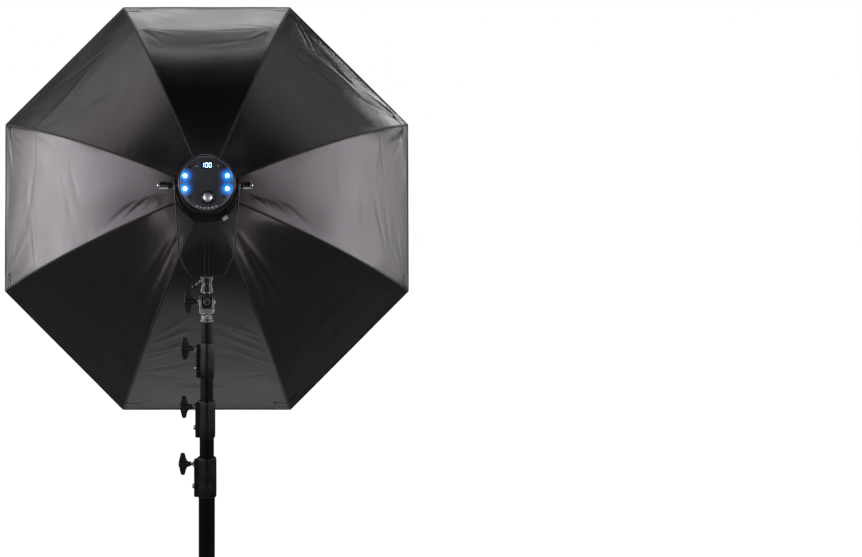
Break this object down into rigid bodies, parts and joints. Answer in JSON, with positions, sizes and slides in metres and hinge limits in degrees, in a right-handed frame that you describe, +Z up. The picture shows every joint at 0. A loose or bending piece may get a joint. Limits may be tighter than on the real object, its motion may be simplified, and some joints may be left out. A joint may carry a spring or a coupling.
{
  "type": "studio softbox",
  "caption": "Octagonal fabric softbox with folding ribs and a white front on a round strobe lamp, held by a tilting yoke on a telescopic tripod stand.",
  "frame": {"origin": "on the floor, under the centre of the whole object's box", "axes": "+Z up; +Y the way the white front faces; +X to the right as seen from behind the lamp"},
  "size_m": [1.1264, 0.936, 2.1657],
  "materials": {
    "black_tube": "black anodised, satin",
    "black_plastic": "moulded nylon, satin",
    "knob_plastic": "moulded nylon, fine grain",
    "cast_metal": "gunmetal casting, satin",
    "yoke_metal": "dark anodised strip",
    "chrome": "bright plated",
    "lamp_shell": "moulded housing, satin",
    "gloss_panel": "gloss rear panel",
    "screen": "lit display",
    "dial_metal": "turned cap on a dark knurled skirt",
    "frosted_glass": "frosted",
    "rubber": "moulded rubber",
    "rib_steel": "spring steel rod",
    "black_nylon": "woven black nylon, satin sheen",
    "white_cloth": "woven white diffusion cloth"
  },
  "bodies": {
    "stand_base": {"base_tube": "black_tube", "collar_1": "black_plastic", "brace_hub": "black_plastic"},
    "section_2": {"section_tube_2": "black_tube", "collar_2": "black_plastic"},
    "section_3": {"section_tube_3": "black_tube", "collar_3": "black_plastic"},
    "section_4": {"section_tube_4": "black_tube"},
    "receiver": {"receiver": "cast_metal"},
    "tilt_knob": {"tilt_knob": "knob_plastic"},
    "yoke": {"neck": "cast_metal", "yoke": "yoke_metal"},
    "umbrella_screw": {"umbrella_screw": "chrome"},
    "lamp": {"lamp_housing": "lamp_shell", "rear_panel": "gloss_panel", "display_window": "screen", "insert_ring": "cast_metal", "glass_dome": "frosted_glass"},
    "dial": {"dial": "dial_metal"},
    "button_left": {"button_left": "knob_plastic"},
    "button_right": {"button_right": "knob_plastic"},
    "softbox": {"hub_ring": "black_plastic"},
    "release_tab": {"release_tab": "chrome"},
    "rib_1": {"rib_1": "rib_steel", "wall_panel_1": "black_nylon"},
    "diffuser_1": {"diffuser_1": "white_cloth"},
    "rib_2": {"rib_2": "rib_steel", "wall_panel_2": "black_nylon"},
    "rib_3": {"rib_3": "rib_steel", "wall_panel_3": "black_nylon"},
    "diffuser_2": {"diffuser_2": "white_cloth"},
    "rib_4": {"rib_4": "rib_steel", "wall_panel_4": "black_nylon"},
    "rib_5": {"rib_5": "rib_steel", "wall_panel_5": "black_nylon"},
    "diffuser_3": {"diffuser_3": "white_cloth"},
    "rib_6": {"rib_6": "rib_steel", "wall_panel_6": "black_nylon"},
    "zip_slider": {"zip_slider": "chrome"},
    "rib_7": {"rib_7": "rib_steel", "wall_panel_7": "black_nylon"},
    "diffuser_4": {"diffuser_4": "white_cloth"},
    "rib_8": {"rib_8": "rib_steel", "wall_panel_8": "black_nylon"},
    "side_knob_left": {"side_knob_left": "chrome"},
    "side_knob_right": {"side_knob_right": "chrome"},
    "collar_knob_3": {"collar_knob_3": "knob_plastic"},
    "collar_knob_2": {"collar_knob_2": "knob_plastic"},
    "collar_knob_1": {"collar_knob_1": "knob_plastic"},
    "leg_slider": {"leg_collar": "black_plastic"},
    "leg_collar_knob": {"leg_collar_knob": "knob_plastic"},
    "leg_1": {"leg_1": "black_tube", "foot_1": "rubber"},
    "leg_2": {"leg_2": "black_tube", "foot_2": "rubber"},
    "leg_3": {"leg_3": "black_tube", "foot_3": "rubber"},
    "brace_1": {"brace_1": "black_tube"},
    "brace_2": {"brace_2": "black_tube"},
    "brace_3": {"brace_3": "black_tube"}
  },
  "joints": [
    {"name": "section_2_slide", "type": "slide", "parent": "stand_base", "child": "section_2", "axis": [0, 0, 1], "range_m": [0, 0.7]},
    {"name": "section_3_slide", "type": "slide", "parent": "section_2", "child": "section_3", "axis": [0, 0, 1], "range_m": [0, 0.7]},
    {"name": "section_4_slide", "type": "slide", "parent": "section_3", "child": "section_4", "axis": [0, 0, 1], "range_m": [0, 0.7]},
    {"name": "collar_knob_1_turn", "type": "hinge", "parent": "stand_base", "child": "collar_knob_1", "pos_m": [-0.0297, -0.2044, 1.01619], "axis": [1, 0, 0], "continuous": true},
    {"name": "collar_knob_2_turn", "type": "hinge", "parent": "section_2", "child": "collar_knob_2", "pos_m": [-0.0268, -0.2044, 1.14938], "axis": [1, 0, 0], "continuous": true},
    {"name": "collar_knob_3_turn", "type": "hinge", "parent": "section_3", "child": "collar_knob_3", "pos_m": [-0.0244, -0.2044, 1.28506], "axis": [1, 0, 0], "continuous": true},
    {"name": "leg_slide", "type": "slide", "parent": "stand_base", "child": "leg_slider", "axis": [0, 0, 1], "range_m": [0, 0.23377]},
    {"name": "leg_collar_knob_turn", "type": "hinge", "parent": "leg_slider", "child": "leg_collar_knob", "pos_m": [0, -0.2314, 0.441], "axis": [0, 1, 0], "continuous": true},
    {"name": "leg_1_fold", "type": "hinge", "parent": "leg_slider", "child": "leg_1", "pos_m": [0, -0.1594, 0.42], "axis": [-1, 0, 0], "range_deg": [0, 47.79]},
    {"name": "brace_1_fold", "type": "hinge", "parent": "stand_base", "child": "brace_1", "pos_m": [0, -0.1644, 0.1], "axis": [1, 0, 0], "range_deg": [0, 63.17]},
    {"name": "leg_2_fold", "type": "hinge", "parent": "leg_slider", "child": "leg_2", "pos_m": [-0.03897, -0.2269, 0.42], "axis": [0.5, -0.866, 0], "range_deg": [0, 47.79]},
    {"name": "brace_2_fold", "type": "hinge", "parent": "stand_base", "child": "brace_2", "pos_m": [-0.03464, -0.2244, 0.1], "axis": [-0.5, 0.866, 0], "range_deg": [0, 63.17]},
    {"name": "leg_3_fold", "type": "hinge", "parent": "leg_slider", "child": "leg_3", "pos_m": [0.03897, -0.2269, 0.42], "axis": [0.5, 0.866, 0], "range_deg": [0, 47.79]},
    {"name": "brace_3_fold", "type": "hinge", "parent": "stand_base", "child": "brace_3", "pos_m": [0.03464, -0.2244, 0.1], "axis": [-0.5, -0.866, 0], "range_deg": [0, 63.17]},
    {"name": "receiver_pan", "type": "hinge", "parent": "section_4", "child": "receiver", "pos_m": [0, -0.2044, 1.34565], "axis": [0, 0, 1], "continuous": true},
    {"name": "tilt_knob_turn", "type": "hinge", "parent": "receiver", "child": "tilt_knob", "pos_m": [-0.017, -0.2044, 1.39315], "axis": [1, 0, 0], "continuous": true},
    {"name": "bracket_tilt", "type": "hinge", "parent": "receiver", "child": "yoke", "pos_m": [0, -0.2044, 1.39315], "axis": [1, 0, 0], "range_deg": [-15, 60]},
    {"name": "umbrella_screw_turn", "type": "hinge", "parent": "yoke", "child": "umbrella_screw", "pos_m": [-0.015, -0.2044, 1.44115], "axis": [0.7071, 0, 0.7071], "continuous": true},
    {"name": "lamp_tilt", "type": "hinge", "parent": "yoke", "child": "lamp", "pos_m": [0, -0.2044, 1.65915], "axis": [1, 0, 0], "range_deg": [-20, 60]},
    {"name": "side_knob_left_turn", "type": "hinge", "parent": "yoke", "child": "side_knob_left", "pos_m": [0, -0.2044, 1.65915], "axis": [1, 0, 0], "continuous": true},
    {"name": "side_knob_right_turn", "type": "hinge", "parent": "yoke", "child": "side_knob_right", "pos_m": [0, -0.2044, 1.65915], "axis": [1, 0, 0], "continuous": true},
    {"name": "dial_turn", "type": "hinge", "parent": "lamp", "child": "dial", "pos_m": [0.002, -0.26406, 1.63125], "axis": [0, 0.9962, -0.0872], "continuous": true},
    {"name": "button_left_press", "type": "slide", "parent": "lamp", "child": "button_left", "axis": [0, 0.9962, -0.0872], "range_m": [0, 0.0012], "stiffness_N_per_m": 300, "springref_m": -0.001},
    {"name": "button_right_press", "type": "slide", "parent": "lamp", "child": "button_right", "axis": [0, 0.9962, -0.0872], "range_m": [0, 0.0012], "stiffness_N_per_m": 300, "springref_m": -0.001},
    {"name": "softbox_spin", "type": "hinge", "parent": "lamp", "child": "softbox", "pos_m": [0, -0.0998, 1.65], "axis": [0, 0.9962, -0.0872], "continuous": true},
    {"name": "release_tab_pull", "type": "slide", "parent": "softbox", "child": "release_tab", "axis": [0.5446, -0.0731, -0.8355], "range_m": [0, 0.004], "stiffness_N_per_m": 400, "springref_m": -0.001},
    {"name": "rib_1_fold", "type": "hinge", "parent": "softbox", "child": "rib_1", "pos_m": [0.06467, -0.09069, 1.67609], "axis": [-0.3827, 0.0805, 0.9204], "range_deg": [0, 39], "deforming": ["wall_panel_1"]},
    {"name": "rib_2_fold", "type": "hinge", "parent": "softbox", "child": "rib_2", "pos_m": [0.02679, -0.08739, 1.71383], "axis": [-0.9239, 0.0334, 0.3812], "range_deg": [0, 39.5], "deforming": ["wall_panel_2"]},
    {"name": "rib_3_fold", "type": "hinge", "parent": "softbox", "child": "rib_3", "pos_m": [-0.02679, -0.08739, 1.71383], "axis": [-0.9239, -0.0334, -0.3812], "range_deg": [0, 39.5], "deforming": ["wall_panel_3"]},
    {"name": "rib_4_fold", "type": "hinge", "parent": "softbox", "child": "rib_4", "pos_m": [-0.06467, -0.09069, 1.67609], "axis": [-0.3827, -0.0805, -0.9204], "range_deg": [0, 39.5], "deforming": ["wall_panel_4"]},
    {"name": "rib_5_fold", "type": "hinge", "parent": "softbox", "child": "rib_5", "pos_m": [-0.06467, -0.09536, 1.62272], "axis": [0.3827, -0.0805, -0.9204], "range_deg": [0, 39.5], "deforming": ["wall_panel_5"]},
    {"name": "rib_6_fold", "type": "hinge", "parent": "softbox", "child": "rib_6", "pos_m": [-0.02679, -0.09866, 1.58498], "axis": [0.9239, -0.0334, -0.3812], "range_deg": [0, 39.5], "deforming": ["wall_panel_6"]},
    {"name": "rib_7_fold", "type": "hinge", "parent": "softbox", "child": "rib_7", "pos_m": [0.02679, -0.09866, 1.58498], "axis": [0.9239, 0.0334, 0.3812], "range_deg": [0, 39.5], "deforming": ["wall_panel_7"]},
    {"name": "rib_8_fold", "type": "hinge", "parent": "softbox", "child": "rib_8", "pos_m": [0.06467, -0.09536, 1.62272], "axis": [0.3827, 0.0805, 0.9204], "range_deg": [0, 39.5], "deforming": ["wall_panel_8"]},
    {"name": "diffuser_1_fold", "type": "hinge", "parent": "rib_1", "child": "diffuser_1", "pos_m": [0.53308, 0.39762, 1.82813], "axis": [-0.3827, 0.0805, 0.9204], "range_deg": [0, 45.5], "deforming": ["diffuser_1"]},
    {"name": "diffuser_2_fold", "type": "hinge", "parent": "rib_3", "child": "diffuser_2", "pos_m": [-0.22081, 0.42483, 2.13922], "axis": [-0.9239, -0.0334, -0.3812], "range_deg": [0, 45.5], "deforming": ["diffuser_2"]},
    {"name": "diffuser_3_fold", "type": "hinge", "parent": "rib_5", "child": "diffuser_3", "pos_m": [-0.53308, 0.35913, 1.3882], "axis": [0.3827, -0.0805, -0.9204], "range_deg": [0, 45.5], "deforming": ["diffuser_3"]},
    {"name": "diffuser_4_fold", "type": "hinge", "parent": "rib_7", "child": "diffuser_4", "pos_m": [0.22081, 0.33191, 1.07712], "axis": [0.9239, 0.0334, 0.3812], "range_deg": [0, 45.5], "deforming": ["diffuser_4"]},
    {"name": "zip_slide", "type": "slide", "parent": "rib_6", "child": "zip_slider", "axis": [0, 0.199, -0.98], "range_m": [0, 0.06]}
  ],
  "couplings": [
    {"joint": "leg_1_fold", "follows": "leg_slide", "rad_per_m": 3.5307},
    {"joint": "brace_1_fold", "follows": "leg_slide", "rad_per_m": 4.6788},
    {"joint": "leg_2_fold", "follows": "leg_slide", "rad_per_m": 3.5307},
    {"joint": "brace_2_fold", "follows": "leg_slide", "rad_per_m": 4.6788},
    {"joint": "leg_3_fold", "follows": "leg_slide", "rad_per_m": 3.5307},
    {"joint": "brace_3_fold", "follows": "leg_slide", "rad_per_m": 4.6788},
    {"joint": "rib_2_fold", "follows": "rib_1_fold", "ratio": 1},
    {"joint": "rib_3_fold", "follows": "rib_1_fold", "ratio": 1},
    {"joint": "rib_4_fold", "follows": "rib_1_fold", "ratio": 1},
    {"joint": "rib_5_fold", "follows": "rib_1_fold", "ratio": 1},
    {"joint": "rib_6_fold", "follows": "rib_1_fold", "ratio": 1},
    {"joint": "rib_7_fold", "follows": "rib_1_fold", "ratio": 1},
    {"joint": "rib_8_fold", "follows": "rib_1_fold", "ratio": 1},
    {"joint": "diffuser_1_fold", "follows": "rib_1_fold", "ratio": 1.1538},
    {"joint": "diffuser_2_fold", "follows": "rib_1_fold", "ratio": 1.1538},
    {"joint": "diffuser_3_fold", "follows": "rib_1_fold", "ratio": 1.1538},
    {"joint": "diffuser_4_fold", "follows": "rib_1_fold", "ratio": 1.1538}
  ]
}
